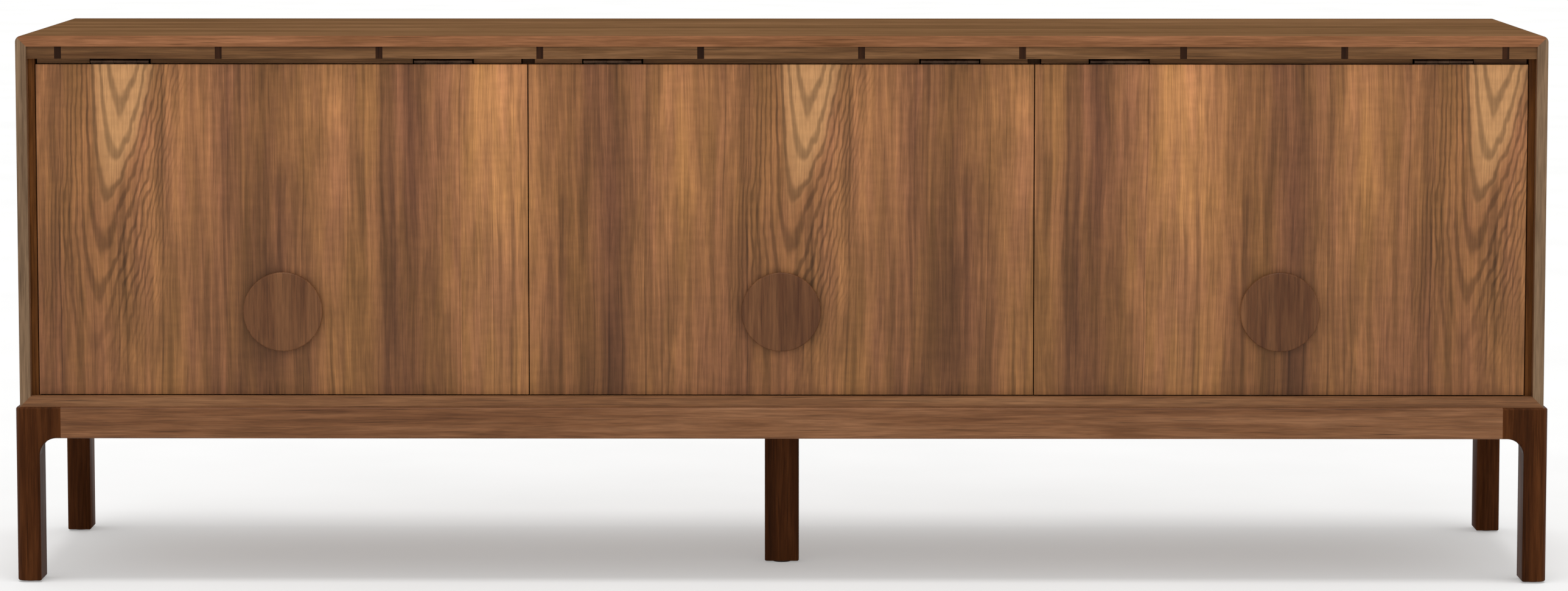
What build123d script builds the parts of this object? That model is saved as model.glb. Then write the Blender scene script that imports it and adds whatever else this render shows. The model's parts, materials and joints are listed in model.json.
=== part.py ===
from build123d import *
from math import atan2, cos, radians, sin, sqrt
import os

# Low walnut media cabinet with three lift-up doors. Millimetres, +Z up.
# The origin is on the floor at the middle of the cabinet, and the doors face -Y.

# Driving dimensions: carcass
carcass_width = 2000.0
carcass_depth = 470.0
overall_height = 720.0
leg_height = 232.0
panel_thickness = 14.0
corner_radius = 8.0
divider_thickness = 16.0
rabbet_step = 6.0
back_thickness = 8.0
back_inset = 6.0
back_panel_gap = 1.0
grommet_hole_radius = 30.0
grommet_bore_radius = 25.0
grommet_flange_radius = 36.0
grommet_flange = 2.0
grommet_above_floor_panel = 90.0

# Driving dimensions: front frame, shelves
stile_width = 9.0
stile_recess = 14.0
stile_depth = 40.0
rail_height = 16.0
rail_recess = 3.0
rail_depth = 30.0
key_width = 9.0
key_depth = 8.0
key_count = 10
key_end_inset = 41.0
shelf_thickness = 14.0
shelf_below_hinges = 216.0
shelf_side_gap = 1.5
shelf_front_setback = 30.0
shelf_back_gap = 6.0
shelf_pin_radius = 2.5
shelf_pin_depth = 6.5
shelf_pin_inset = 60.0
shelf_pin_tab = 8.0
pin_hole_pitch = 32.0
pin_hole_rows = (-1, 0, 1)

# Driving dimensions: doors and their hinges
door_recess = 12.0
door_thickness = 18.0
door_gap = 1.5
door_swing = 90.0
pull_radius = 52.0
pull_thickness = 10.0
pull_undercut = 8.0
pull_rim_radius = 2.0
pull_rise = 110.0
knuckle_radius = 3.0
knuckle_clearance = 1.0
knuckle_count = 5
knuckle_end_gap = 0.3
hinge_length = 76.0
gap_strip_clearance = 1.0
gap_strip_hinge_gap = 2.0
hinge_inset = 110.0
leaf_thickness = 1.5
leaf_knuckle_gap = 0.5
leaf_back_margin = 1.0
hinge_pin_radius = 1.5
turning_clearance = 0.05
bumper_radius = 3.5
bumper_thickness = 3.8
bumper_gap = 0.2
low_bumper_rise = 30.0
high_bumper_drop = 60.0

# Driving dimensions: sliding-rod stays, one each side of every door
stay_radius = 105.0
stay_spread = 36.0
stay_rod_radius = 3.0
stay_eye_radius = 7.0
stay_eye_width = 7.0
stay_eye_clearance = 3.0
stay_stop_radius = 5.0
stay_stop_length = 5.0
stay_stop_gap = 0.3
stay_block_size = 14.0
stay_block_length = 18.0
stay_block_edge_radius = 2.0
stay_trunnion_radius = 4.0
stay_trunnion_length = 5.0
stay_wall_distance = 16.0
stay_stile_distance = 14.0
bracket_plate = 3.0
door_bracket_plate = 2.0
bracket_half_height = 22.0
bracket_half_width = 8.0
bracket_screw_offset = 15.0
bracket_boss_wall = 4.0
bracket_side_gap = 0.2

# Driving dimensions: base frame
leg_proud = 6.0
leg_width = 32.0
leg_depth = 48.0
leg_corner_radius = 12.0
leg_edge_radius = 3.0
leg_foot_radius = 2.0
shoulder_reach = 28.0
shoulder_radius = 22.0
apron_height = 41.0
apron_thickness = 24.0
middle_leg_width = 46.0
middle_leg_depth = 32.0
middle_leg_setback = 166.0
glide_radius = 12.0
glide_height = 2.0
cleat_size = 20.0
cleat_screw_inset = 140.0

# Driving dimensions: fastenings
fastener_clearance = 0.1
screw_tip_margin = 1.0
dowel_radius = 4.0
apron_dowel_length = 36.0
divider_dowel_length = 24.0
divider_dowel_bite = 9.0
divider_dowel_inset = 60.0
# Screws: shank radius, head radius, head height, length under the head
small_screw = (1.3, 2.6, 1.2, 13.0)
wall_screw = (1.3, 2.6, 1.2, bracket_plate + divider_thickness / 2 - screw_tip_margin)
pull_screw = (2.0, 4.0, 2.0, door_thickness + pull_thickness / 2)
base_screw = (2.0, 4.0, 2.5, 30.0)
pull_screw_offset = 24.0
# How far a cut runs past the face it opens
cut_past = 1.0

# Derived places
half_width = carcass_width / 2
front = -carcass_depth / 2
back = carcass_depth / 2
inner_x = half_width - panel_thickness
floor_z = leg_height + panel_thickness
ceiling_z = overall_height - panel_thickness
hinge_space = 2 * (knuckle_radius + knuckle_clearance)
rail_bottom = ceiling_z - rail_height
door_top = rail_bottom - hinge_space
door_bottom = floor_z + door_gap
opening_half = inner_x - stile_width
door_front = front + door_recess
door_back = door_front + door_thickness
divider_front = door_back + bumper_gap + bumper_thickness
back_front = back - back_inset - back_thickness
back_back = back - back_inset
hinge_y = door_front + knuckle_radius
hinge_z = rail_bottom - hinge_space / 2
shelf_z = hinge_z - shelf_below_hinges
shelf_front = divider_front + shelf_front_setback
shelf_back = back_front - shelf_back_gap
leg_x = half_width + leg_proud
leg_y = back + leg_proud
apron_bottom = leg_height - apron_height

# Three bays of one width between the side panels and the dividers, each with its door
bay_width = (2 * inner_x - 2 * divider_thickness) / 3
bay_pitch = bay_width + divider_thickness
divider_x = bay_pitch / 2
bays = {"left": -bay_pitch, "centre": 0.0, "right": bay_pitch}
outer_edge, inner_edge = opening_half - door_gap, divider_x - door_gap / 2
doors = {
    "left": (-outer_edge, -inner_edge - door_gap),
    "centre": (-inner_edge, inner_edge),
    "right": (inner_edge + door_gap, outer_edge),
}

os.makedirs("parts", exist_ok=True)


def write(node, *solids):
    """Write one node, as a single solid or as a group of separate solids."""
    shape = solids[0] if len(solids) == 1 else Compound(children=list(solids))
    export_step(shape, f"parts/{node}.step")


def slab(x0, x1, y0, y1, z0, z1):
    """A box between two corners."""
    return Pos((x0 + x1) / 2, (y0 + y1) / 2, (z0 + z1) / 2) * Box(x1 - x0, y1 - y0, z1 - z0)


def along_x(sketch, x0, x1):
    """Extrude a sketch drawn in Y and Z from x0 to x1."""
    return Pos(x0, 0, 0) * extrude(Plane.YZ * sketch, amount=x1 - x0)


def along_y(sketch, y0, y1):
    """Extrude a sketch drawn in X and Z from y0 to y1."""
    return Pos(0, y1, 0) * extrude(Plane.XZ * sketch, amount=y1 - y0)


def rod(start, end, radius):
    """A round bar from one point to another."""
    line = Vector(*end) - Vector(*start)
    return Plane(origin=start, z_dir=line) * Cylinder(
        radius, line.length, align=(Align.CENTER, Align.CENTER, Align.MIN)
    )


def screw(seat, direction, sizes):
    """A pan-head screw whose head sits on seat and whose shank goes in along direction."""
    shank_radius, head_radius, head_height, length = sizes
    line = Vector(*direction)
    point = Vector(*seat)
    head = rod(tuple(point - line * head_height), tuple(point), head_radius)
    return head + rod(tuple(point), tuple(point + line * length), shank_radius)


def screw_hole(seat, direction, sizes):
    """The clearance hole for the same screw's shank."""
    line = Vector(*direction)
    end = Vector(*seat) + line * (sizes[3] + fastener_clearance)
    return rod(seat, tuple(end), sizes[0] + fastener_clearance)


def wall_faces(bay):
    """The inner wall on each side of a bay: its x, and the direction into the bay."""
    return [(bays[bay] - bay_width / 2, 1), (bays[bay] + bay_width / 2, -1)]


# Stays. The rod's eye on the door and the swivel block on the wall are both at stay_radius
# from the hinge, so the rod always turns half as far as the door does.
stay_back_offset = door_back + door_bracket_plate + stay_eye_clearance + stay_eye_radius - hinge_y
eye_angle = -atan2(sqrt(stay_radius**2 - stay_back_offset**2), stay_back_offset)
block_angle = eye_angle + radians(stay_spread)
eye_y = hinge_y + stay_radius * cos(eye_angle)
eye_z = hinge_z + stay_radius * sin(eye_angle)
block_y = hinge_y + stay_radius * cos(block_angle)
block_z = hinge_z + stay_radius * sin(block_angle)
rod_angle = atan2(block_z - eye_z, block_y - eye_y)
rod_y, rod_z = cos(rod_angle), sin(rod_angle)
open_reach = 2 * stay_radius * sin(radians(door_swing + stay_spread) / 2)
stay_rod_length = open_reach + stay_block_length / 2 + stay_stop_gap + stay_stop_length


def on_side_panel(wall_x):
    """Whether a bay's wall is a side panel and not a divider."""
    return abs(wall_x) > (inner_x + divider_x) / 2


def stay_plane(wall_x, side):
    """The x of a stay: a set distance from its wall, or clear of the stile beside the door."""
    if on_side_panel(wall_x):
        return side * (stay_stile_distance - opening_half)
    return wall_x + side * stay_wall_distance


def stay_rod(x, side):
    """Round rod with an eye and pivot pin at the door and a stop collar at the far end."""
    def at(distance):
        return (x, eye_y + distance * rod_y, eye_z + distance * rod_z)

    half_eye = stay_eye_width / 2
    eye = rod((x - half_eye, eye_y, eye_z), (x + half_eye, eye_y, eye_z), stay_eye_radius)
    pin_end = x + side * (half_eye + bracket_side_gap + bracket_plate + bracket_side_gap)
    pin = rod((x, eye_y, eye_z), (pin_end, eye_y, eye_z), stay_rod_radius)
    bar = rod(at(0), at(stay_rod_length), stay_rod_radius)
    stop = rod(at(stay_rod_length - stay_stop_length), at(stay_rod_length), stay_stop_radius)
    return eye + pin + bar + stop


def stay_block(x, side):
    """Swivel block that the rod slides through, with a trunnion towards the wall."""
    half = stay_block_size / 2
    turned = Plane(origin=(x, block_y, block_z), x_dir=(1, 0, 0), z_dir=(0, rod_y, rod_z))
    body = turned * Box(stay_block_size, stay_block_size, stay_block_length)
    body = fillet(body.edges().filter_by(Axis.X), stay_block_edge_radius)
    bore = turned * Cylinder(stay_rod_radius + turning_clearance, stay_block_length * 2)
    start = x - side * half
    end = start - side * stay_trunnion_length
    trunnion = rod((start, block_y, block_z), (end, block_y, block_z), stay_trunnion_radius)
    return body - bore + trunnion


def stay_wall_bracket(x, wall_x, side):
    """Plate on the wall with a boss that holds the swivel block's trunnion."""
    boss_radius = stay_trunnion_radius + bracket_boss_wall
    plate = slab(
        *sorted((wall_x, wall_x + side * bracket_plate)),
        block_y - boss_radius, block_y + boss_radius,
        block_z - bracket_half_height, block_z + bracket_half_height,
    )
    boss_end = x - side * (stay_block_size / 2 + bracket_side_gap)
    boss = rod((wall_x, block_y, block_z), (boss_end, block_y, block_z), boss_radius)
    bore_radius = stay_trunnion_radius + turning_clearance
    bore_end = boss_end - side * stay_trunnion_length
    bore_start = boss_end + side * cut_past
    bore = rod((bore_start, block_y, block_z), (bore_end, block_y, block_z), bore_radius)
    bracket = plate + boss - bore
    for seat in wall_screw_seats(wall_x, side):
        bracket -= screw_hole(seat, (-side, 0, 0), wall_screw)
    return bracket


def wall_screw_seats(wall_x, side):
    """The two screws of a wall bracket, above and below its boss."""
    plate_x = wall_x + side * bracket_plate
    return [(plate_x, block_y, block_z + way * bracket_screw_offset) for way in (-1, 1)]


def stay_door_bracket(x, side):
    """Plate on the back of the door with one ear for the rod's pivot pin."""
    ear_start = x + side * (stay_eye_width / 2 + bracket_side_gap)
    low_x, high_x = sorted((ear_start, ear_start + side * bracket_plate))
    plate = slab(
        x - bracket_half_width, x + bracket_half_width, door_back, door_back + door_bracket_plate,
        eye_z - bracket_half_height, eye_z + bracket_half_height,
    )
    ear = slab(low_x, high_x, door_back, eye_y, eye_z - bracket_half_width, eye_z + bracket_half_width)
    nose = rod((low_x, eye_y, eye_z), (high_x, eye_y, eye_z), bracket_half_width)
    hole_radius = stay_rod_radius + turning_clearance
    hole = rod(
        (low_x - cut_past, eye_y, eye_z), (high_x + cut_past, eye_y, eye_z), hole_radius
    )
    bracket = plate + ear + nose - hole
    for seat in door_bracket_seats(x):
        bracket -= screw_hole(seat, (0, -1, 0), small_screw)
    return bracket


def door_bracket_seats(x):
    """The two screws of a door bracket, above and below its ear."""
    plate_y = door_back + door_bracket_plate
    return [(x, plate_y, eye_z + way * bracket_screw_offset) for way in (-1, 1)]


# Hinges. Knuckles alternate between the leaf under the rail and the leaf on the door.
def hinge_centres(x0, x1):
    """The middles of a door's two hinges."""
    return [x0 + hinge_inset, x1 - hinge_inset]


leaf_far = door_back - leaf_back_margin
leaf_near = hinge_y + knuckle_radius + leaf_knuckle_gap
leaf_screw_y = (leaf_near + leaf_far) / 2


def hinge_leaf(x, on_door):
    """A leaf with its knuckles and two screw holes."""
    low = door_top if on_door else rail_bottom - leaf_thickness
    high = low + leaf_thickness
    x0, x1 = x - hinge_length / 2, x + hinge_length / 2
    leaf = slab(x0, x1, leaf_near, leaf_far, low, high)
    step = hinge_length / knuckle_count
    for index in range(knuckle_count):
        if (index % 2 == 1) == on_door:
            start = x0 + index * step + knuckle_end_gap / 2
            end = x0 + (index + 1) * step - knuckle_end_gap / 2
            leaf += slab(start, end, hinge_y, leaf_near, low, high)
            leaf += rod((start, hinge_y, hinge_z), (end, hinge_y, hinge_z), knuckle_radius)
    bore = hinge_pin_radius + (turning_clearance if on_door else 0)
    leaf -= rod((x0 - cut_past, hinge_y, hinge_z), (x1 + cut_past, hinge_y, hinge_z), bore)
    for seat in leaf_screw_seats(x, on_door):
        leaf -= screw_hole(seat, (0, 0, -1 if on_door else 1), small_screw)
    return leaf


def leaf_screw_seats(x, on_door):
    """The two screws of a leaf, near its ends."""
    z = door_top + leaf_thickness if on_door else rail_bottom - leaf_thickness
    return [(x + dx, leaf_screw_y, z) for dx in (-hinge_length / 4, hinge_length / 4)]


# Carcass: four panels, mitred where they meet, with a rabbet all round for the back.
outline = Pos(0, (leg_height + overall_height) / 2) * Rectangle(carcass_width, overall_height - leg_height)
outline = fillet(outline.vertices().sort_by(Axis.Y)[-2:], corner_radius)
back_half_x = inner_x + rabbet_step
back_low, back_high = floor_z - rabbet_step, ceiling_z + rabbet_step
rabbet = slab(-back_half_x, back_half_x, back_front, back + cut_past, back_low, back_high)


def carcass_panel(*corners):
    """One mitred panel of the carcass, its outer edge following the rounded outline."""
    face = outline & make_face(Polyline(*corners, close=True))
    return along_y(face, front, back) - rabbet


outer_low, outer_high = leg_height, overall_height
top_panel = carcass_panel(
    (-half_width, outer_high), (half_width, outer_high), (inner_x, ceiling_z), (-inner_x, ceiling_z)
)
bottom_panel = carcass_panel(
    (-half_width, outer_low), (half_width, outer_low), (inner_x, floor_z), (-inner_x, floor_z)
)
sides = {}
for name, sign in (("left", -1), ("right", 1)):
    sides[name] = carcass_panel(
        (sign * half_width, outer_low), (sign * half_width, outer_high),
        (sign * inner_x, ceiling_z), (sign * inner_x, floor_z),
    )

# Dividers stand behind the joints between the doors.
dividers = {}
for name, sign in (("left", -1), ("right", 1)):
    x = sign * divider_x
    dividers[name] = slab(
        x - divider_thickness / 2, x + divider_thickness / 2, divider_front, back_front, floor_z, ceiling_z
    )


def wall_owner(wall_x):
    """The group and name of the upright panel whose face is at wall_x."""
    return (sides if on_side_panel(wall_x) else dividers), ("left" if wall_x < 0 else "right")


# Dowels fix the dividers to the top and bottom panels.
carcass_dowels = []
for sign in (-1, 1):
    for y in (divider_front + divider_dowel_inset, back_front - divider_dowel_inset):
        for level, way in ((floor_z, 1), (ceiling_z, -1)):
            x = sign * divider_x
            start = (x, y, level - way * divider_dowel_bite)
            end = (x, y, level + way * (divider_dowel_length - divider_dowel_bite))
            carcass_dowels.append(rod(start, end, dowel_radius))
            hole = rod(start, end, dowel_radius + fastener_clearance)
            top_panel -= hole
            bottom_panel -= hole
            dividers["left"] -= hole
            dividers["right"] -= hole

# Top rail with dark keys let into its face, and the two narrow stiles.
rail_front = front + rail_recess
key_pitch = 2 * (inner_x - key_end_inset) / (key_count - 1)
top_rail = slab(-inner_x, inner_x, rail_front, rail_front + rail_depth, rail_bottom, ceiling_z)
rail_keys = []
for index in range(key_count):
    x = (index - (key_count - 1) / 2) * key_pitch
    key = slab(
        x - key_width / 2, x + key_width / 2, rail_front, rail_front + key_depth, rail_bottom, ceiling_z
    )
    top_rail -= key
    rail_keys.append(key)
stile_front = front + stile_recess
for name, sign in (("left", -1), ("right", 1)):
    low_x, high_x = sorted((sign * inner_x, sign * opening_half))
    write(f"stile_{name}", slab(low_x, high_x, stile_front, stile_front + stile_depth, floor_z, rail_bottom))

# Shelves on pins, with spare holes above and below.
shelf_pins = []
for name in bays:
    walls = wall_faces(name)
    low_x = walls[0][0] + shelf_side_gap
    high_x = walls[1][0] - shelf_side_gap
    write(f"shelf_{name}", slab(low_x, high_x, shelf_front, shelf_back, shelf_z, shelf_z + shelf_thickness))
    for wall_x, side in walls:
        for y in (shelf_front + shelf_pin_inset, shelf_back - shelf_pin_inset):
            pin_z = shelf_z - shelf_pin_radius
            inside = (wall_x - side * shelf_pin_depth, y, pin_z)
            outside = (wall_x + side * shelf_pin_depth, y, pin_z)
            tab = slab(
                *sorted((wall_x, wall_x + side * shelf_pin_depth)),
                y - shelf_pin_tab / 2, y + shelf_pin_tab / 2, shelf_z - 2 * shelf_pin_radius, shelf_z
            )
            shelf_pins.append(rod(inside, (wall_x, y, pin_z), shelf_pin_radius) + tab)
            for row in pin_hole_rows:
                z = pin_z + row * pin_hole_pitch
                hole = rod(
                    (inside[0], y, z), (wall_x + side * cut_past, y, z),
                    shelf_pin_radius + fastener_clearance,
                )
                panels, owner = wall_owner(wall_x)
                panels[owner] -= hole

# Back panels, each with a cable hole lined by a grommet, screwed into the rabbet and dividers.
back_screws = []
grommets = []
back_spans = {
    "left": (-back_half_x, -divider_x - back_panel_gap / 2),
    "centre": (-divider_x + back_panel_gap / 2, divider_x - back_panel_gap / 2),
    "right": (divider_x + back_panel_gap / 2, back_half_x),
}
cut_start, cut_end = back_front - cut_past, back + cut_past
grommet_z = floor_z + grommet_above_floor_panel
for name, (x0, x1) in back_spans.items():
    panel = slab(x0, x1, back_front, back_back, back_low, back_high)
    hole_x = bays[name]
    panel -= rod((hole_x, cut_start, grommet_z), (hole_x, cut_end, grommet_z), grommet_hole_radius)
    inset = rabbet_step / 2
    for x in (x0 + inset, (x0 + x1) / 2, x1 - inset):
        for z in (back_low + inset, (back_low + back_high) / 2, back_high - inset):
            on_edge = z in (back_low + inset, back_high - inset)
            if on_edge or x != (x0 + x1) / 2:
                seat = (x, back_back, z)
                back_screws.append(screw(seat, (0, -1, 0), small_screw))
                hole = screw_hole(seat, (0, -1, 0), small_screw)
                panel -= hole
                top_panel -= hole
                bottom_panel -= hole
                for owner in ("left", "right"):
                    sides[owner] -= hole
                    dividers[owner] -= hole
    write(f"back_panel_{name}", panel)
    tube_radius = grommet_hole_radius - fastener_clearance
    ring = rod((hole_x, back_front, grommet_z), (hole_x, back_back, grommet_z), tube_radius)
    ring += rod(
        (hole_x, back_back, grommet_z), (hole_x, back_back + grommet_flange, grommet_z), grommet_flange_radius
    )
    ring -= rod((hole_x, cut_start, grommet_z), (hole_x, cut_end, grommet_z), grommet_bore_radius)
    grommets.append(ring)

# Doors, each with its pull, hinge leaves, stay brackets and screws.
cabinet_leaves = []
hinge_pins = []
cabinet_screws = []
wall_brackets = []
bumpers = []
pull_z = door_bottom + pull_rise
for name, (x0, x1) in doors.items():
    door_x = (x0 + x1) / 2
    door = slab(x0, x1, door_front, door_back, door_bottom, door_top)
    door_screws = []
    door_leaves = []
    for x in hinge_centres(x0, x1):
        door_leaves.append(hinge_leaf(x, True))
        cabinet_leaves.append(hinge_leaf(x, False))
        half = hinge_length / 2
        hinge_pins.append(
            rod((x - half, hinge_y, hinge_z), (x + half, hinge_y, hinge_z), hinge_pin_radius)
        )
        for seat in leaf_screw_seats(x, True):
            door_screws.append(screw(seat, (0, 0, -1), small_screw))
            door -= screw_hole(seat, (0, 0, -1), small_screw)
        for seat in leaf_screw_seats(x, False):
            cabinet_screws.append(screw(seat, (0, 0, 1), small_screw))
            top_rail -= screw_hole(seat, (0, 0, 1), small_screw)

    stay_rods = []
    stay_blocks = []
    door_brackets = []
    for wall_x, side in wall_faces(name):
        x = stay_plane(wall_x, side)
        stay_rods.append(stay_rod(x, side))
        stay_blocks.append(stay_block(x, side))
        door_brackets.append(stay_door_bracket(x, side))
        wall_brackets.append(stay_wall_bracket(x, wall_x, side))
        for seat in door_bracket_seats(x):
            door_screws.append(screw(seat, (0, -1, 0), small_screw))
            door -= screw_hole(seat, (0, -1, 0), small_screw)
        for seat in wall_screw_seats(wall_x, side):
            cabinet_screws.append(screw(seat, (-side, 0, 0), wall_screw))
            hole = screw_hole(seat, (-side, 0, 0), wall_screw)
            panels, owner = wall_owner(wall_x)
            panels[owner] -= hole

    # The pull is turned with an undercut edge, so that a finger hooks behind it.
    profile = make_face(Polyline(
        (0, 0), (pull_radius - pull_undercut, 0), (pull_radius, pull_thickness / 2),
        (pull_radius, pull_thickness), (0, pull_thickness), close=True,
    ))
    disc = revolve(Plane.XZ * profile, Axis.Z)
    rim = disc.edges().filter_by(GeomType.CIRCLE).group_by(Axis.Z)[-1]
    disc = fillet(rim, pull_rim_radius)
    disc = Plane(origin=(door_x, door_front, pull_z), x_dir=(1, 0, 0), z_dir=(0, -1, 0)) * disc
    for way in (-1, 1):
        seat = (door_x + way * pull_screw_offset, door_back, pull_z)
        door_screws.append(screw(seat, (0, -1, 0), pull_screw))
        hole = screw_hole(seat, (0, -1, 0), pull_screw)
        door -= hole
        disc -= hole

    write(f"door_{name}", door)
    write(f"pull_{name}", disc)
    write(f"door_screws_{name}", *door_screws)
    write(f"door_leaves_{name}", *door_leaves)
    write(f"door_brackets_{name}", *door_brackets)
    write(f"stay_rods_{name}", *stay_rods)
    write(f"stay_blocks_{name}", *stay_blocks)

# Soft bumpers on the dividers' front edges stop the closed doors.
for sign in (-1, 1):
    for z in (door_bottom + low_bumper_rise, door_top - high_bumper_drop):
        for dx in (-1, 1):
            x = sign * divider_x + dx * divider_thickness / 4
            bumpers.append(
                rod((x, divider_front, z), (x, divider_front - bumper_thickness, z), bumper_radius)
            )

# Strips glued under the rail behind the hinge line close the gap over each door, between its
# hinges.
strip_front = hinge_y + knuckle_radius + knuckle_clearance
gap_strips = []
for name, (x0, x1) in doors.items():
    stops = [max(x0, bays[name] - bay_width / 2) + gap_strip_clearance]
    for x in hinge_centres(x0, x1):
        stops += [x - hinge_length / 2 - gap_strip_hinge_gap, x + hinge_length / 2 + gap_strip_hinge_gap]
    stops.append(min(x1, bays[name] + bay_width / 2) - gap_strip_clearance)
    for start, end in zip(stops[::2], stops[1::2]):
        gap_strips.append(
            slab(start, end, strip_front, rail_front + rail_depth, door_top + gap_strip_clearance, rail_bottom)
        )

write("top_panel", top_panel)
write("top_rail", top_rail, *gap_strips)
for name in ("left", "right"):
    write(f"side_panel_{name}", sides[name])
    write(f"divider_{name}", dividers[name])
write("carcass_dowels", *carcass_dowels)
write("rail_keys", *rail_keys)
write("shelf_pins", *shelf_pins)
write("back_screws", *back_screws)
write("cable_grommets", *grommets)
write("cabinet_leaves", *cabinet_leaves)
write("hinge_pins", *hinge_pins)
write("cabinet_screws", *cabinet_screws)
write("stay_wall_brackets", *wall_brackets)
write("door_bumpers", *bumpers)


# Base frame: corner legs with curved shoulders, aprons between them, a middle leg on rails.
tip_x = leg_x - leg_width - shoulder_reach
tip_y = leg_y - leg_depth - shoulder_reach


def shoulder_outline(face):
    """The curved shoulder that runs from a leg's inner face to the end of the apron."""
    curve_top = (face - shoulder_radius, apron_bottom)
    curve_foot = (face, apron_bottom - shoulder_radius)
    tip = face - shoulder_reach
    lines = Polyline(curve_foot, (face, leg_height), (tip, leg_height), (tip, apron_bottom), curve_top)
    return make_face([*lines.edges(), RadiusArc(curve_top, curve_foot, shoulder_radius)])


def lies_on(edge, axis, value):
    """Whether an edge lies in the plane where one coordinate has this value."""
    return all(abs(getattr(edge @ share, axis) - value) < 0.001 for share in (0, 0.5, 1))


post = slab(leg_x - leg_width, leg_x, leg_y - leg_depth, leg_y, glide_height, leg_height)
shoulder_x = along_y(shoulder_outline(leg_x - leg_width), leg_y - apron_thickness, leg_y)
shoulder_y = along_x(shoulder_outline(leg_y - leg_depth), leg_x - apron_thickness, leg_x)
corner_leg = post + shoulder_x + shoulder_y
outer_corner = [
    edge for edge in corner_leg.edges().filter_by(Axis.Z)
    if lies_on(edge, "X", leg_x) and lies_on(edge, "Y", leg_y)
]
corner_leg = fillet(outer_corner, leg_corner_radius)
softened = []
for edge in corner_leg.edges():
    on_face = lies_on(edge, "X", leg_x) or lies_on(edge, "Y", leg_y)
    on_joint = lies_on(edge, "X", tip_x) or lies_on(edge, "Y", tip_y)
    on_top = lies_on(edge, "Z", leg_height) and edge.geom_type == GeomType.CIRCLE
    if on_top or (on_face and not on_joint and not lies_on(edge, "Z", glide_height)):
        softened.append(edge)
corner_leg = fillet(softened, leg_edge_radius)
foot_edges = [edge for edge in corner_leg.edges() if lies_on(edge, "Z", glide_height)]
corner_leg = fillet(foot_edges, leg_foot_radius)

apron_inner_x = leg_x - apron_thickness
apron_inner_y = leg_y - apron_thickness
aprons = {
    "front": slab(-tip_x, tip_x, -leg_y, -apron_inner_y, apron_bottom, leg_height),
    "back": slab(-tip_x, tip_x, apron_inner_y, leg_y, apron_bottom, leg_height),
    "left": slab(-leg_x, -apron_inner_x, -tip_y, tip_y, apron_bottom, leg_height),
    "right": slab(apron_inner_x, leg_x, -tip_y, tip_y, apron_bottom, leg_height),
}
outer_faces = {"front": ("Y", -leg_y), "back": ("Y", leg_y), "left": ("X", -leg_x), "right": ("X", leg_x)}
for side, (axis, value) in outer_faces.items():
    along = Axis.X if axis == "Y" else Axis.Y
    long_edges = aprons[side].edges().filter_by(along)
    aprons[side] = fillet([edge for edge in long_edges if lies_on(edge, axis, value)], leg_edge_radius)

# One dowel ties each apron end to its leg.
base_dowels = []
dowel_z = apron_bottom + apron_height / 2
half_dowel = apron_dowel_length / 2
middle_x, middle_y = leg_x - apron_thickness / 2, leg_y - apron_thickness / 2
dowel_lines = [
    ((tip_x - half_dowel, middle_y), (tip_x + half_dowel, middle_y)),
    ((middle_x, tip_y - half_dowel), (middle_x, tip_y + half_dowel)),
]
for start, end in dowel_lines:
    hole = rod((*start, dowel_z), (*end, dowel_z), dowel_radius + fastener_clearance)
    corner_leg -= hole
    for sign_x in (-1, 1):
        for sign_y in (-1, 1):
            first = (start[0] * sign_x, start[1] * sign_y, dowel_z)
            last = (end[0] * sign_x, end[1] * sign_y, dowel_z)
            base_dowels.append(rod(first, last, dowel_radius))
            hole = rod(first, last, dowel_radius + fastener_clearance)
            for side in aprons:
                aprons[side] -= hole
for side, apron in aprons.items():
    write(f"apron_{side}", apron)
write("base_dowels", *base_dowels)

mirrors = {"front": -1, "back": 1}
for end, sign_y in mirrors.items():
    for side, sign_x in (("left", -1), ("right", 1)):
        leg = corner_leg if sign_x > 0 else mirror(corner_leg, about=Plane.YZ)
        leg = leg if sign_y > 0 else mirror(leg, about=Plane.XZ)
        write(f"leg_{end}_{side}", leg)

middle_front = -leg_y + middle_leg_setback
middle_back = middle_front + middle_leg_depth
middle_leg = slab(
    -middle_leg_width / 2, middle_leg_width / 2, middle_front, middle_back, glide_height, leg_height
)
middle_leg = fillet(middle_leg.edges().filter_by(Axis.Z), leg_edge_radius)
foot_edges = [edge for edge in middle_leg.edges() if lies_on(edge, "Z", glide_height)]
middle_leg = fillet(foot_edges, leg_foot_radius)
write("leg_middle", middle_leg)
half_rail = apron_thickness / 2
cross_rails = [
    slab(-half_rail, half_rail, y0, y1, apron_bottom, leg_height)
    for y0, y1 in ((-apron_inner_y, middle_front), (middle_back, apron_inner_y))
]
write("cross_rails", *cross_rails)

glides = []
for sign_x in (-1, 1):
    for sign_y in (-1, 1):
        x = sign_x * (leg_x - leg_width / 2)
        y = sign_y * (leg_y - leg_depth / 2)
        glides.append(rod((x, y, 0), (x, y, glide_height), glide_radius))
glide_y = (middle_front + middle_back) / 2
glides.append(rod((0, glide_y, 0), (0, glide_y, glide_height), glide_radius))
write("foot_glides", *glides)

# Cleats inside the long aprons carry the screws that hold the carcass down.
cleats = []
base_screws = []
for sign_y in (-1, 1):
    y0, y1 = sorted((sign_y * apron_inner_y, sign_y * (apron_inner_y - cleat_size)))
    for sign_x in (-1, 1):
        x0, x1 = sorted((sign_x * half_rail, sign_x * (leg_x - leg_width)))
        cleat = slab(x0, x1, y0, y1, leg_height - cleat_size, leg_height)
        for x in (x0 + cleat_screw_inset, (x0 + x1) / 2, x1 - cleat_screw_inset):
            seat = (x, (y0 + y1) / 2, leg_height - cleat_size)
            base_screws.append(screw(seat, (0, 0, 1), base_screw))
            hole = screw_hole(seat, (0, 0, 1), base_screw)
            cleat -= hole
            bottom_panel -= hole
        cleats.append(cleat)
write("bottom_panel", bottom_panel)
write("base_cleats", *cleats)
write("base_screws", *base_screws)
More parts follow.
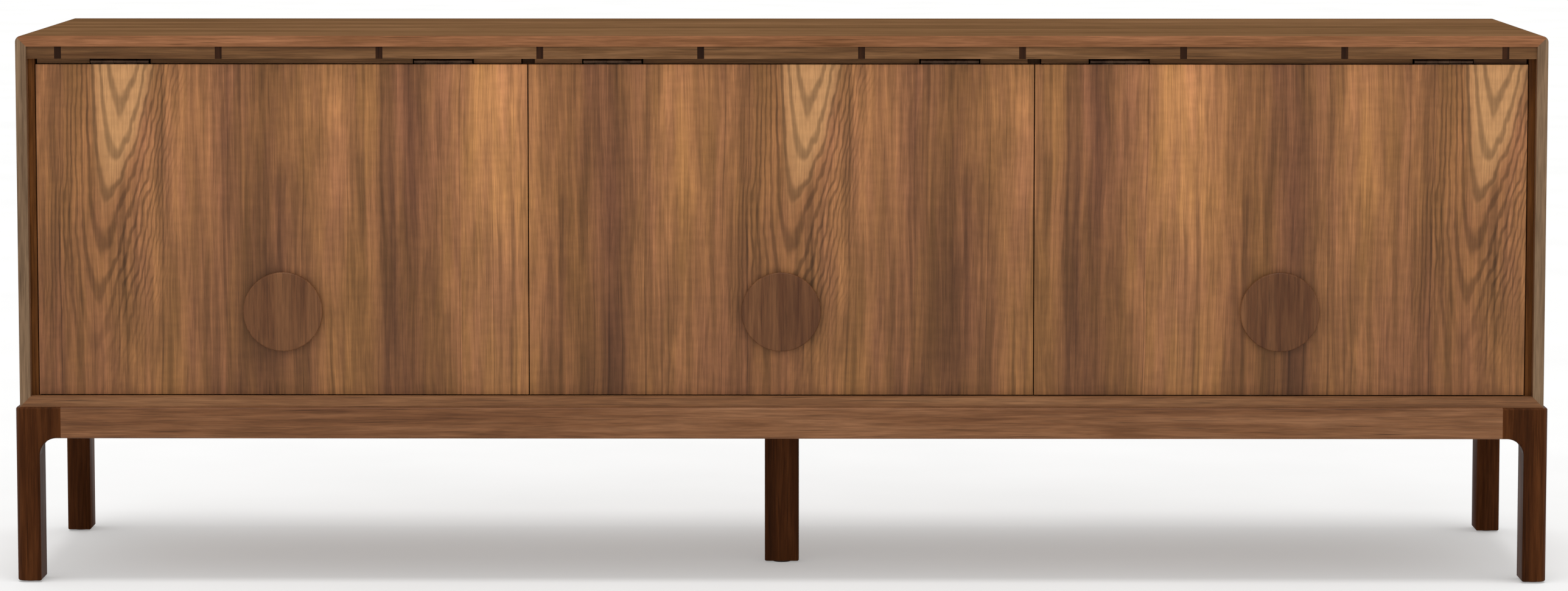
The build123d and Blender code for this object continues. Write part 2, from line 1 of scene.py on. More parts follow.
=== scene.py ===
import json
from math import pi, radians

import bpy
from mathutils import Matrix, Vector

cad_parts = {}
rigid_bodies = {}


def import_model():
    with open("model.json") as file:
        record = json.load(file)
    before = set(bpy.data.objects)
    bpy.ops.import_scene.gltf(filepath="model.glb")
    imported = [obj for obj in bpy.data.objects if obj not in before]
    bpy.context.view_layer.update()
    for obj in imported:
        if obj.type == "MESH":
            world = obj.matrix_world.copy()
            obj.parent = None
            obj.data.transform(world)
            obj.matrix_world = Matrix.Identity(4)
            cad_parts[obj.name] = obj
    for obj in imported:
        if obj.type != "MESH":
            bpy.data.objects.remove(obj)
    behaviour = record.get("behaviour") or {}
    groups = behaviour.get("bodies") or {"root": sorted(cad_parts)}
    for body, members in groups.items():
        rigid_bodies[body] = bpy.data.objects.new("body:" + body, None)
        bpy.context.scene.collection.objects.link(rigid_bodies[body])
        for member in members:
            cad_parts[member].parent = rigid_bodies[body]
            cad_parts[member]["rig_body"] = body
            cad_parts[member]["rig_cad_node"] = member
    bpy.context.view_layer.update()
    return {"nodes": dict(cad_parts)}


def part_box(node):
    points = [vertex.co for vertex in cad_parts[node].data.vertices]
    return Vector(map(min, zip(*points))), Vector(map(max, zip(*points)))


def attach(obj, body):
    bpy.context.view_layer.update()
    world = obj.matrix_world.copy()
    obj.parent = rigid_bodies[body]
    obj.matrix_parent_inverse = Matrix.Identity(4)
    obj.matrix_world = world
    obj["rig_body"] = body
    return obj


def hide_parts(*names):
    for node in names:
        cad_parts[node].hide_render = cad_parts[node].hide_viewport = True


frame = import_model()
scene = bpy.context.scene


# Case: top, bottom and side boards, mitred at the corners. The grain runs along the top and
# bottom and up the sides, and the front edges of the top and sides carry a painted highlight.
def softened(node, name, body, edge=0.0006):
    """A copy of a piece as it was cut, with its edges eased by sandpaper. Mitres stay sharp."""
    merge_distance, flat_within, eased_from, smooth_under = 0.00001, 1, 60, 35
    bpy.ops.object.select_all(action="DESELECT")
    source = frame["nodes"][node]
    piece = source.copy()
    piece.data = source.data.copy()
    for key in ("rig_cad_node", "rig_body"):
        del piece[key]
    scene.collection.objects.link(piece)
    piece.parent = None
    piece.name = name
    piece.data.name = name
    piece.select_set(True)
    bpy.context.view_layer.objects.active = piece
    bpy.ops.object.mode_set(mode="EDIT")
    bpy.ops.mesh.select_all(action="SELECT")
    bpy.ops.mesh.remove_doubles(threshold=merge_distance)
    bpy.ops.mesh.dissolve_limited(angle_limit=radians(flat_within))
    bpy.ops.object.mode_set(mode="OBJECT")
    if edge:
        bevel = piece.modifiers.new("Eased edges", "BEVEL")
        bevel.width = edge
        bevel.segments = 2
        bevel.limit_method = "ANGLE"
        bevel.angle_limit = radians(eased_from)
        bpy.ops.object.modifier_apply(modifier=bevel.name)
    bpy.ops.object.shade_smooth_by_angle(angle=radians(smooth_under))
    flat = piece.modifiers.new("Flat faces stay flat", "WEIGHTED_NORMAL")
    flat.keep_sharp = True
    bpy.ops.object.modifier_apply(modifier=flat.name)
    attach(piece, body)
    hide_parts(node)
    return piece


def finish_with(piece, *materials):
    """Gives a piece its materials, the first on every face."""
    piece.data.materials.clear()
    for material in materials:
        piece.data.materials.append(material)


def stain(red, green, blue):
    """A colour as read off a stain card, 0 to 255, in the shader's own scale."""
    return tuple((c / 255 / 12.92 if c <= 10 else ((c / 255 + 0.055) / 1.055) ** 2.4)
                 for c in (red, green, blue)) + (1.0,)


class Shader:
    """A material being put together: it adds nodes and joins them."""

    def __init__(self, name):
        self.material = bpy.data.materials.new(name)
        self.material.use_nodes = True
        self.tree = self.material.node_tree
        self.surface = self.tree.nodes["Principled BSDF"]
        self.place = self.add("ShaderNodeTexCoord").outputs["Object"]

    def add(self, kind, inputs=None, **settings):
        made = self.tree.nodes.new(kind)
        for key, value in settings.items():
            setattr(made, key, value)
        for key, value in (inputs or {}).items():
            self.put(made.inputs[key], value)
        return made

    def put(self, socket, value):
        if isinstance(value, bpy.types.NodeSocket):
            self.tree.links.new(value, socket)
        else:
            socket.default_value = value

    def calc(self, operation, *values, clamp=False):
        return self.add("ShaderNodeMath", dict(enumerate(values)), operation=operation,
                        use_clamp=clamp).outputs[0]

    def stretched(self, scale, shift=(0.0, 0.0, 0.0), source=None):
        return self.add("ShaderNodeMapping", {"Vector": source or self.place, "Scale": scale,
                                              "Location": shift}).outputs[0]

    def noise(self, place, scale, detail=3.0, roughness=0.5, distortion=0.0):
        return self.add("ShaderNodeTexNoise", {
            "Vector": place, "Scale": scale, "Detail": detail, "Roughness": roughness,
            "Distortion": distortion}).outputs["Fac"]

    def spread(self, value, low, high, to_low=0.0, to_high=1.0):
        return self.add("ShaderNodeMapRange", {
            "Value": value, "From Min": low, "From Max": high, "To Min": to_low,
            "To Max": to_high}, interpolation_type="SMOOTHSTEP").outputs["Result"]

    def ramp(self, value, *stops):
        made = self.add("ShaderNodeValToRGB", {"Fac": value})
        elements = made.color_ramp.elements
        for place, colour in stops[1:-1]:
            elements.new(place).color = colour
        elements[0].position, elements[0].color = stops[0]
        elements[-1].position, elements[-1].color = stops[-1]
        return made.outputs["Color"]

    def blend(self, share, first, second, how="MIX"):
        made = self.add("ShaderNodeMix", data_type="RGBA", blend_type=how)
        self.put(made.inputs["Factor"], share)
        self.put(made.inputs["A"], first)
        self.put(made.inputs["B"], second)
        return made.outputs["Result"]

    def shade(self, colour, value):
        """Darkens or lightens a colour by a plain factor."""
        grey = self.add("ShaderNodeCombineColor", {"Red": value, "Green": value, "Blue": value})
        return self.blend(1.0, colour, grey.outputs["Color"], "MULTIPLY")

    def bump(self, height, strength, distance):
        made = self.add("ShaderNodeBump", {"Height": height, "Strength": strength,
                                           "Distance": distance})
        self.put(self.surface.inputs["Normal"], made.outputs["Normal"])


def walnut(name, grain, dark, middle, light, broad=7.0, shift=(0.0, 0.0, 0.0), gloss=0.15,
           roughness=0.45, figure=0.5, lit_edge_tint=None):
    """Walnut with its grain along one axis: broad tones, streaks, fibres and open pores."""
    streak_share, pore_depth, lit_edge_depth = 0.3, 0.4, 0.003
    made = Shader(name)
    along = {"X": (0.05, 1, 1), "Y": (1, 0.05, 1), "Z": (1, 1, 0.05)}[grain]
    place = made.stretched(along, shift)
    tones = made.noise(place, broad, 3, 0.55, 0.4)
    rings = made.noise(place, broad * 5, 4, 0.6, 1.2)
    streaks = made.noise(place, 90, 5, 0.65)
    fibres = made.noise(place, 480, 3, 0.6)
    wood = made.calc("ADD", made.calc("MULTIPLY", tones, 1 - figure),
                     made.calc("MULTIPLY", rings, figure))
    wood = made.calc("ADD", made.calc("MULTIPLY", wood, 1 - streak_share),
                     made.calc("MULTIPLY", streaks, streak_share))
    colour = made.ramp(wood, (0.38, dark), (0.5, middle), (0.62, light))
    colour = made.shade(colour, made.spread(fibres, 0.3, 0.7, 0.82, 1.12))
    # Painted highlight: when a tint is given, the front 3 mm of the board is tinted lighter and
    # greyer, as where the front edges catch the light and reflect the white surround.
    if lit_edge_tint:
        front = made.add("ShaderNodeSeparateXYZ", {"Vector": made.place}).outputs["Y"]
        edge = made.calc("LESS_THAN", front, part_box("top_panel")[0].y + lit_edge_depth)
        colour = made.blend(edge, colour, made.blend(1.0, colour, (*lit_edge_tint, 1.0), "MULTIPLY"))
    pore_place = made.stretched(tuple(0.3 * a if a < 1 else 1 for a in along), shift)
    pores = made.spread(made.noise(pore_place, 700, 2, 0.5), 0.6, 0.72)
    colour = made.shade(colour, made.calc("SUBTRACT", 1.0,
                                          made.calc("MULTIPLY", pores, pore_depth)))
    made.put(made.surface.inputs["Base Color"], colour)
    made.put(made.surface.inputs["Roughness"],
             made.spread(fibres, 0.2, 0.8, roughness - 0.06, roughness + 0.1))
    made.put(made.surface.inputs["Specular IOR Level"], gloss)
    made.bump(made.calc("SUBTRACT", fibres, pores), 0.25, 0.0002)
    return made.material


# The tints given to the top and the sides paint a highlight on their front edges.
top_walnut = walnut("Walnut veneer along the top", "X", stain(84, 60, 37), stain(106, 77, 51),
                    stain(127, 94, 65), broad=9, gloss=0.0, roughness=0.6,
                    lit_edge_tint=(1.95, 1.62, 1.68))
bottom_walnut = walnut("Walnut veneer along the bottom", "X", stain(92, 60, 36),
                       stain(122, 82, 52), stain(146, 104, 70), shift=(3.1, 0.7, 0.4))
side_walnut = walnut("Walnut veneer up the sides", "Z", stain(96, 64, 42), stain(124, 86, 58),
                     stain(150, 108, 76), shift=(0.3, 2.2, 0.9), gloss=0.05,
                     lit_edge_tint=(1.07, 1.46, 1.85))
for panel, material in (("top_panel", top_walnut), ("bottom_panel", bottom_walnut),
                        ("side_panel_left", side_walnut), ("side_panel_right", side_walnut)):
    finish_with(softened(panel, panel.replace("panel", "board"), "cabinet"),
                material)
BAYS = ("left", "centre", "right")
timber = walnut("Plain timber", "X", stain(150, 116, 80), stain(176, 140, 100),
                stain(196, 162, 120), gloss=0.1, roughness=0.6)
finish_with(frame["nodes"]["carcass_dowels"], timber)

# Inside: dividers, shelves and three back boards in a quieter walnut veneer. The shelves lie on
# nickel-plated pins, and black grommets line the cable holes in the backs.
inner_upright = walnut("Inside veneer, upright", "Z", stain(80, 54, 36), stain(106, 75, 52),
                       stain(128, 94, 68), gloss=0.1, roughness=0.55, shift=(0.9, 0.4, 2.0))
inner_level = walnut("Inside veneer, level", "X", stain(80, 54, 36), stain(106, 75, 52),
                     stain(128, 94, 68), gloss=0.1, roughness=0.55, shift=(0.1, 1.4, 0.6))
for node in ("divider_left", "divider_right"):
    finish_with(softened(node, f"upright_{node}", "cabinet"), inner_upright)
for bay in BAYS:
    finish_with(softened(f"shelf_{bay}", f"shelf_board_{bay}", "cabinet"),
                inner_level)
    finish_with(softened(f"back_panel_{bay}", f"back_board_{bay}", "cabinet"),
                inner_level)


def metal(name, colour, wear, roughness):
    """A plated or bronzed steel: fine specks, and scuffs that dull it."""
    made = Shader(name)
    specks = made.noise(made.place, 900, 4, 0.6)
    scuffs = made.noise(made.place, 60, 4, 0.6)
    made.put(made.surface.inputs["Base Color"], made.shade(
        made.ramp(scuffs, (0.35, colour), (0.75, wear)),
        made.spread(specks, 0.3, 0.7, 0.9, 1.08)))
    made.put(made.surface.inputs["Roughness"],
             made.spread(scuffs, 0.3, 0.7, roughness - 0.05, roughness + 0.12))
    made.put(made.surface.inputs["Metallic"], 1.0)
    made.bump(specks, 0.08, 0.0001)
    return made.material


def nylon(name, colour, light):
    """Moulded nylon with a fine spark-eroded grain."""
    made = Shader(name)
    grain = made.noise(made.place, 1400, 3, 0.6)
    made.put(made.surface.inputs["Base Color"], made.ramp(grain, (0.3, colour), (0.8, light)))
    made.put(made.surface.inputs["Roughness"], made.spread(grain, 0.3, 0.7, 0.45, 0.6))
    made.bump(grain, 0.15, 0.0002)
    return made.material


nickel = metal("Nickel-plated steel", stain(196, 192, 186), stain(150, 146, 140), 0.3)
finish_with(frame["nodes"]["shelf_pins"], nickel)
black_nylon = nylon("Black nylon", stain(24, 23, 22), stain(46, 44, 42))
finish_with(softened("cable_grommets", "outlet_grommets", "cabinet", 0.0005),
            black_nylon)


# Screws: zinc-plated pan heads with a cross recess. One is modelled for each size, and a copy
# stands wherever a screw holds a back board, a hinge leaf, a stay bracket, a pull or a cleat.
def pick_faces(piece, wanted):
    """Selects the faces of a piece in edit mode by their place and direction."""
    bpy.ops.mesh.select_all(action="DESELECT")
    bpy.ops.object.mode_set(mode="OBJECT")
    for face in piece.data.polygons:
        face.select = bool(wanted(face.center, face.normal))
    bpy.ops.object.mode_set(mode="EDIT")


def pan_head(radius, height, shank, length):
    """One screw at the origin, its head upwards and its shank pointing down."""
    rounding, point_share, point_width = 0.45, 0.2, 0.35
    recess_length, recess_width, recess_depth = 1.2, 0.26, 1.2
    bpy.ops.object.select_all(action="DESELECT")
    bpy.ops.mesh.primitive_cylinder_add(vertices=24, radius=radius, depth=height,
                                        location=(0, 0, height / 2))
    made = bpy.context.object
    bpy.ops.object.transform_apply(location=True, rotation=True, scale=True)
    bpy.ops.object.mode_set(mode="EDIT")
    bpy.ops.mesh.select_mode(type="FACE")
    pick_faces(made, lambda centre, normal: normal.z > 0.9)
    bpy.ops.mesh.bevel(offset=height * rounding, segments=3, affect="EDGES")
    pick_faces(made, lambda centre, normal: normal.z < -0.9)
    bpy.ops.mesh.inset(thickness=radius - shank)
    for share in (1 - point_share, point_share):
        bpy.ops.mesh.extrude_region_move(
            TRANSFORM_OT_translate={"value": (0, 0, -length * share)})
    bpy.ops.transform.resize(value=(point_width, point_width, 1), center_override=(0, 0, 0))
    bpy.ops.object.mode_set(mode="OBJECT")
    for across, along in ((recess_length, recess_width), (recess_width, recess_length)):
        bpy.ops.object.select_all(action="DESELECT")
        bpy.ops.mesh.primitive_cube_add(size=1, location=(0, 0, height))
        recess = bpy.context.object
        recess.scale = (radius * across, radius * along, height * recess_depth)
        bpy.ops.object.transform_apply(location=True, rotation=True, scale=True)
        bpy.ops.object.select_all(action="DESELECT")
        made.select_set(True)
        bpy.context.view_layer.objects.active = made
        cut = made.modifiers.new("Cross recess", "BOOLEAN")
        cut.operation = "DIFFERENCE"
        cut.solver = "EXACT"
        cut.object = recess
        bpy.ops.object.modifier_apply(modifier=cut.name)
        bpy.data.objects.remove(recess)
    return made


def loose_screws(node):
    """A copy of the node's screws, each as an object of its own."""
    bpy.ops.object.select_all(action="DESELECT")
    group = frame["nodes"][node].copy()
    group.data = group.data.copy()
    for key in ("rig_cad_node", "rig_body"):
        del group[key]
    group.parent = None
    scene.collection.objects.link(group)
    group.select_set(True)
    bpy.context.view_layer.objects.active = group
    bpy.ops.object.mode_set(mode="EDIT")
    bpy.ops.mesh.select_all(action="SELECT")
    bpy.ops.mesh.remove_doubles(threshold=0.00001)
    bpy.ops.mesh.separate(type="LOOSE")
    bpy.ops.object.mode_set(mode="OBJECT")
    return list(bpy.context.selected_objects)


def measured(screw):
    """The seat and direction of a screw, and its head radius, head height, shank radius and length."""
    points = [vertex.co.copy() for vertex in screw.data.vertices]
    low = Vector([min(point[i] for point in points) for i in range(3)])
    high = Vector([max(point[i] for point in points) for i in range(3)])
    middle, size = (low + high) / 2, high - low
    axis = max(range(3), key=lambda i: size[i])
    reach = []
    for point in points:
        out = point - middle
        out[axis] = 0
        reach.append((point[axis], out.length))
    widest = max(r for along, r in reach)
    rim = [along for along, r in reach if r > 0.98 * widest]
    way = 1 if (min(rim) + max(rim)) / 2 > middle[axis] else -1
    height = max(rim) - min(rim)
    shank = min(r for along, r in reach if r > 0.1 * widest)
    seat = middle.copy()
    seat[axis] = min(rim) if way > 0 else max(rim)
    direction = Vector([way if i == axis else 0 for i in range(3)])
    return seat, direction, (widest, height, shank, size[axis] - height)


def screws_in(node, body):
    """Stands a copy of the modelled screw in each place where the node has one."""
    made = []
    for screw in loose_screws(node):
        seat, direction, sizes = measured(screw)
        key = tuple(round(size * 1e5) for size in sizes)
        if key not in screw_patterns:
            screw_patterns[key] = pan_head(*sizes)
            finish_with(screw_patterns[key], zinc)
        copy = screw_patterns[key].copy()
        copy.data = copy.data.copy()
        scene.collection.objects.link(copy)
        turn = direction.to_track_quat("Z", "Y").to_matrix().to_4x4()
        copy.data.transform(Matrix.Translation(seat) @ turn)
        made.append(copy)
        bpy.data.objects.remove(screw)
    bpy.ops.object.select_all(action="DESELECT")
    for copy in made:
        copy.select_set(True)
    bpy.context.view_layer.objects.active = made[0]
    bpy.ops.object.join()
    joined = bpy.context.object
    joined.name = f"{node}_set"
    joined.data.name = joined.name
    bpy.ops.object.shade_smooth_by_angle(angle=radians(35))
    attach(joined, body)
    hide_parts(node)


screw_patterns = {}
zinc = metal("Zinc-plated screws", stain(176, 170, 156), stain(128, 122, 110), 0.35)
for node in ("back_screws", "cabinet_screws", "base_screws"):
    screws_in(node, "cabinet")
for bay in BAYS:
    screws_in(f"door_screws_{bay}", f"door_{bay}")
for pattern in screw_patterns.values():
    bpy.data.objects.remove(pattern)

# Top rail: a slim solid rail set back under the top, with ten dark keys let into its face and
# strips glued under it that close the gap over the doors.
rail_walnut = walnut("Walnut rail", "X", stain(80, 51, 28), stain(112, 78, 48),
                     stain(144, 104, 70), broad=14, shift=(1.7, 0.2, 0.1), gloss=0.1)
finish_with(softened("top_rail", "front_rail", "cabinet"), rail_walnut)
key_walnut = walnut("Dark keys", "Z", stain(32, 18, 10), stain(46, 26, 14), stain(62, 36, 20),
                    broad=40, gloss=0.06)
finish_with(softened("rail_keys", "rail_inlays", "cabinet", 0.0003), key_walnut)

# Stiles: narrow uprights, set back, that fill the gap between each side board and the nearest
# door. Their walnut is painted very dark, as painted shade for the shadow in that gap.
# Painted shade: the stile colours are near black-brown, so the gap beside the doors reads as deep
# shadow.
shaded_gap_stile_walnut = walnut("Stiles painted dark as gap shadow", "Z", stain(72, 40, 16), stain(100, 59, 25),
                      stain(120, 74, 36), broad=30, gloss=0.05)
for side in ("left", "right"):
    finish_with(softened(f"stile_{side}", f"front_stile_{side}", "cabinet"),
                shaded_gap_stile_walnut)


# Doors: three boards veneered as one sheet. Each leaf of veneer is just under 0.9 m wide, and
# its bands, streaks, dark lines and one tall arched figure come again in the next leaf.
def door_veneer():
    leaf_width, figure_x, door_top = 0.898, 0.029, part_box("door_centre")[1].z
    loop_step, loop_opening, figure_lean = 0.062, 42.0, -0.12
    made = Shader("Walnut veneer across the doors")
    axes = made.add("ShaderNodeSeparateXYZ", {"Vector": made.place}).outputs
    across, up = axes["X"], axes["Z"]
    drift = made.noise(made.stretched((1, 1, 0.9)), 2.4, 2, 0.5)
    wander = made.noise(made.stretched((1, 1, 0.12)), 26, 3, 0.6)
    moved = made.calc("ADD", across, made.calc("MULTIPLY_ADD", drift, 0.018, -0.009))
    moved = made.calc("ADD", moved, made.calc("MULTIPLY_ADD", wander, 0.008, -0.004))
    leaf = made.calc("FRACT", made.calc(
        "DIVIDE", made.calc("ADD", moved, 2.5 * leaf_width - figure_x), leaf_width))
    pale, amber = stain(176, 124, 80), stain(156, 108, 70)
    brown, dusky = stain(138, 94, 60), stain(114, 76, 50)
    bands = made.ramp(leaf, (0.0, amber), (0.05, pale), (0.14, brown), (0.22, dusky),
                      (0.3, amber), (0.42, brown), (0.56, amber), (0.72, dusky),
                      (0.82, amber), (0.93, dusky), (1.0, amber))
    sheet = made.add("ShaderNodeCombineXYZ", {
        "X": made.calc("MULTIPLY", leaf, leaf_width), "Y": axes["Y"], "Z": up}).outputs[0]
    wide = made.noise(made.stretched((1, 0, 0.085), source=sheet), 48, 4, 0.65, 0.4)
    streaks = made.noise(made.stretched((1, 0, 0.018), source=sheet), 150, 5, 0.7)
    fibres = made.noise(made.stretched((1, 0, 0.03), source=sheet), 620, 3, 0.6)
    colour = made.shade(bands, made.spread(wide, 0.36, 0.64, 0.78, 1.2))
    hue = made.noise(made.stretched((1, 0, 0.14), (0.4, 0, 0.7), sheet), 21, 3, 0.6)
    colour = made.blend(1.0, colour, made.ramp(
        hue, (0.35, (1.0, 0.93, 1.0, 1.0)), (0.65, (1.0, 1.0, 0.82, 1.0))), "MULTIPLY")
    colour = made.shade(colour, made.spread(streaks, 0.3, 0.7, 0.76, 1.22))

    # Thin lines of late wood run up the leaf wherever a slow noise passes its middle.
    line_half_width = 0.012
    crossing = made.noise(made.stretched((1, 0, 0.01), source=sheet), 16, 2, 0.5)
    away = made.calc("ABSOLUTE", made.calc("SUBTRACT", crossing, 0.5))
    lines = made.spread(away, 0.0, line_half_width, 1.0, 0.0)
    strength = made.noise(made.stretched((1, 0, 0.3), source=sheet), 9, 2)
    strength = made.spread(strength, 0.3, 0.65, 0.12, 0.42)
    colour = made.shade(colour, made.calc("SUBTRACT", 1.0,
                                          made.calc("MULTIPLY", lines, strength)))

    # The arched figure: nested loops of summer wood, leaning a little, that point downwards.
    below = made.calc("SUBTRACT", door_top, up)
    lean = made.calc("MULTIPLY_ADD", below, figure_lean, 0.0096)
    offset = made.calc("MULTIPLY", made.calc("SUBTRACT", leaf, 0.5), leaf_width)
    offset = made.calc("SUBTRACT", offset, lean)
    wobble = made.noise(made.stretched((1, 0, 0.5), source=sheet), 22, 3, 0.6)
    offset = made.calc("ADD", offset, made.calc("MULTIPLY_ADD", wobble, 0.02, -0.01))
    opening = made.calc("POWER", made.calc("ABSOLUTE", offset), 1.7)
    level = made.calc("MULTIPLY_ADD", opening, loop_opening, below)
    level = made.calc("ADD", level, made.calc("MULTIPLY", wobble, 0.05))
    loops = made.calc("SINE", made.calc("MULTIPLY", level, 2 * pi / loop_step))
    loops = made.spread(loops, -0.2, 1.0)
    near = made.spread(made.calc("ABSOLUTE", offset), 0.045, 0.1, 1.0, 0.0)
    above = made.spread(below, 0.26, 0.42, 1.0, 0.15)
    figure = made.calc("MULTIPLY", near, above)
    honey = made.calc("MULTIPLY", made.spread(level, 0.12, 0.25, 1.0, 0.0), near)
    colour = made.blend(made.calc("MULTIPLY", honey, 0.8), colour, stain(190, 142, 94))
    colour = made.shade(colour, made.calc("SUBTRACT", 1.0, made.calc(
        "MULTIPLY", made.calc("MULTIPLY", loops, figure), 0.42)))

    ripple = made.noise(made.stretched((0.35, 0, 1), source=sheet), 95, 2, 0.5)
    colour = made.shade(colour, made.spread(ripple, 0.3, 0.7, 0.95, 1.05))
    colour = made.shade(colour, made.spread(fibres, 0.3, 0.7, 0.84, 1.12))
    # Painted shade: the doors are painted lighter at the top and darker towards the bottom, as light
    # falling from above would leave them.
    colour = made.shade(colour, made.spread(below, 0.0, 0.43, 1.11, 0.79))
    pores = made.noise(made.stretched((1, 0, 0.012), source=sheet), 800, 2, 0.5)
    pores = made.spread(pores, 0.62, 0.74)
    colour = made.shade(colour, made.calc("SUBTRACT", 1.0, made.calc("MULTIPLY", pores, 0.35)))
    made.put(made.surface.inputs["Base Color"], colour)
    made.put(made.surface.inputs["Roughness"], made.spread(fibres, 0.2, 0.8, 0.4, 0.54))
    made.put(made.surface.inputs["Specular IOR Level"], 0.15)
    made.bump(made.calc("SUBTRACT", fibres, pores), 0.22, 0.0002)
    return made.material


veneer = door_veneer()
for bay in BAYS:
    finish_with(softened(f"door_{bay}", f"door_board_{bay}", f"door_{bay}", 0.0008),
                veneer)


# Pulls: discs turned from solid walnut, undercut behind so that a finger hooks on. The face is
# dished a little and the rim rounded over, and two screws come through the door into the back.
def turned_pull(bay):
    low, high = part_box(f"pull_{bay}")
    thickness, radius = high.y - low.y, (high.x - low.x) / 2
    undercut, rim, dish = 0.008, 0.0018, 0.0007
    dish_steps = (0.5, 0.28, 0.15, 0.07)
    middle = (low + high) / 2
    bpy.ops.object.select_all(action="DESELECT")
    bpy.ops.mesh.primitive_cylinder_add(
        vertices=96, radius=radius, depth=thickness / 2, rotation=(pi / 2, 0, 0),
        location=(middle.x, low.y + thickness / 4, middle.z))
    disc = bpy.context.object
    bpy.ops.object.transform_apply(location=True, rotation=True, scale=True)
    bpy.ops.object.mode_set(mode="EDIT")
    bpy.ops.mesh.select_mode(type="FACE")
    pick_faces(disc, lambda centre, normal: normal.y > 0.9)
    bpy.ops.mesh.extrude_region_move(TRANSFORM_OT_translate={"value": (0, thickness / 2, 0)})
    narrow = 1 - undercut / radius
    bpy.ops.transform.resize(value=(narrow, 1, narrow), center_override=middle)
    pick_faces(disc, lambda centre, normal: normal.y < -0.9)
    bpy.ops.mesh.bevel(offset=rim, segments=5, affect="EDGES")
    pick_faces(disc, lambda centre, normal: normal.y < -0.99)
    for share in dish_steps:
        bpy.ops.mesh.inset(thickness=0.2 * radius)
        bpy.ops.transform.translate(value=(0, dish * share, 0))
    bpy.ops.object.mode_set(mode="OBJECT")
    bpy.ops.object.shade_smooth_by_angle(angle=radians(35))
    disc.name = f"disc_pull_{bay}"
    disc.data.name = disc.name
    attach(disc, f"door_{bay}")
    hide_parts(f"pull_{bay}")
    finish_with(disc, pull_walnut)


pull_walnut = walnut("Turned walnut pulls", "Z", stain(80, 47, 27), stain(103, 66, 40),
                     stain(124, 83, 52), broad=14, shift=(0.6, 0.0, 1.3), roughness=0.4, gloss=0.15)
for bay in BAYS:
    turned_pull(bay)


# Bumpers and glides: dark pressed felt, stuck on the dividers' front edges behind the doors
# and under the feet.
def felt(name, dark, light):
    made = Shader(name)
    hairs = made.noise(made.place, 1800, 4, 0.7, 1.5)
    made.put(made.surface.inputs["Base Color"], made.ramp(hairs, (0.3, dark), (0.7, light)))
    made.put(made.surface.inputs["Roughness"], made.spread(hairs, 0.3, 0.7, 0.9, 1.0))
    made.put(made.surface.inputs["Specular IOR Level"], 0.1)
    made.bump(hairs, 0.6, 0.0006)
    return made.material


dark_felt = felt("Dark felt", stain(30, 25, 22), stain(66, 56, 48))
for node, name in (("door_bumpers", "felt_bumpers"), ("foot_glides", "felt_glides")):
    finish_with(softened(node, name, "cabinet", 0.0004), dark_felt)

# Hinges: bronzed steel butts, one leaf screwed under the rail and one on the door's top edge,
# with knuckles round a thin pin.
bronze = metal("Bronzed steel", stain(58, 44, 36), stain(96, 74, 58), 0.42)
for node in ["cabinet_leaves", "hinge_pins"] + [f"door_leaves_{bay}" for bay in BAYS]:
    finish_with(frame["nodes"][node], bronze)

# Stays: a nickel-plated rod turns on the door's bracket and slides through a nylon block, which
# turns on a bracket screwed to the wall of the bay.
finish_with(frame["nodes"]["stay_wall_brackets"], nickel)
for bay in BAYS:
    finish_with(frame["nodes"][f"door_brackets_{bay}"], nickel)
    finish_with(frame["nodes"][f"stay_rods_{bay}"], nickel)
    finish_with(frame["nodes"][f"stay_blocks_{bay}"], black_nylon)

# Base: solid aprons, and dark stained legs whose curved shoulders meet the aprons. Rails and
# cleats of plain timber stiffen it and hold the case on, and dowels join the corners.
apron_walnut = walnut("Walnut aprons", "X", stain(88, 55, 35), stain(115, 76, 49),
                      stain(138, 96, 66), broad=14, shift=(2.3, 0.4, 0.8), gloss=0.1)
side_apron_walnut = walnut("Walnut side aprons", "Y", stain(88, 55, 35), stain(115, 76, 49),
                           stain(138, 96, 66), broad=14, gloss=0.1)
leg_walnut = walnut("Dark stained legs", "Z", stain(46, 23, 9), stain(64, 33, 13),
                    stain(84, 47, 22), broad=26, roughness=0.45, gloss=0.03)
for side in ("front", "back", "left", "right"):
    material = apron_walnut if side in ("front", "back") else side_apron_walnut
    finish_with(softened(f"apron_{side}", f"apron_board_{side}", "cabinet", 0),
                material)
for corner in ("front_left", "front_right", "back_left", "back_right", "middle"):
    finish_with(softened(f"leg_{corner}", f"leg_post_{corner}", "cabinet", 0),
                leg_walnut)
for node in ("cross_rails", "base_cleats", "base_dowels"):
    finish_with(frame["nodes"][node], timber)

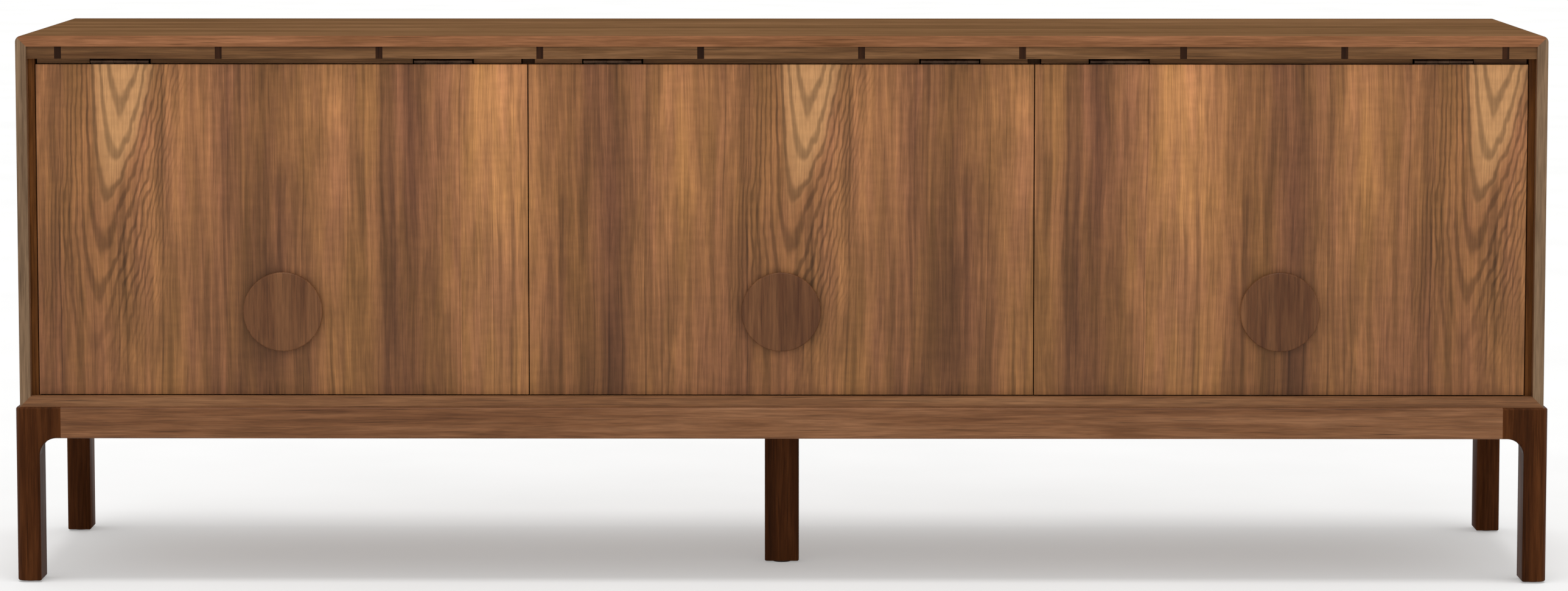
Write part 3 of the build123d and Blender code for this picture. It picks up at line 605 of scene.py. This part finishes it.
# Studio: a pale floor without an end, a white surround, a softbox in front
# and a wide panel overhead that throws the soft shadow under the case.
bpy.ops.object.select_all(action="DESELECT")
bpy.ops.mesh.primitive_plane_add(size=60, location=(0, 0, 0))
floor = bpy.context.object
floor.name = "studio_floor"
paper = Shader("Pale studio floor")
fleck = paper.noise(paper.place, 3, 2)
paper.put(paper.surface.inputs["Base Color"], paper.ramp(
    fleck, (0.3, stain(186, 186, 186)), (0.7, stain(190, 190, 190))))
paper.put(paper.surface.inputs["Roughness"], 0.9)
paper.put(paper.surface.inputs["Specular IOR Level"], 0.0)
paper.put(paper.surface.inputs["Emission Color"], (1.0, 1.0, 0.99, 1.0))
paper.put(paper.surface.inputs["Emission Strength"], 0.3)
finish_with(floor, paper.material)

surround = bpy.data.worlds.new("Studio surround")
surround.use_nodes = True
surround.node_tree.nodes["Background"].inputs["Color"].default_value = (1.0, 0.998, 0.995, 1.0)
surround.node_tree.nodes["Background"].inputs["Strength"].default_value = 1.0
scene.world = surround

softbox_place, softbox_aim = Vector((-1.2, -4.2, 3.4)), Vector((0, 0, 0.4))
bpy.ops.object.light_add(type="AREA", location=softbox_place)
softbox = bpy.context.object
softbox.name = "front_softbox"
softbox.data.shape = "RECTANGLE"
softbox.data.size, softbox.data.size_y = 4.0, 2.0
softbox.data.energy = 12
softbox.rotation_euler = (softbox_aim - softbox_place).to_track_quat("-Z", "Y").to_euler()
bpy.ops.object.light_add(type="SUN", location=(0, 0, 4), rotation=(radians(6), 0, 0))
overhead = bpy.context.object
overhead.name = "overhead_panel"
overhead.data.angle = radians(16)
overhead.data.energy = 1.25

scene.view_settings.view_transform = "Standard"
lens = bpy.data.cameras.new("camera")
lens.lens = 109.69
lens.shift_y = -0.06
lens.clip_end = 200
tilt_down, turn_left = 4.983, 0.293
camera = bpy.data.objects.new("camera", lens)
camera.location = (0.0356, -6.4594, 1.0462)
camera.rotation_euler = (radians(90 - tilt_down), 0, radians(turn_left))
scene.collection.objects.link(camera)
scene.camera = camera
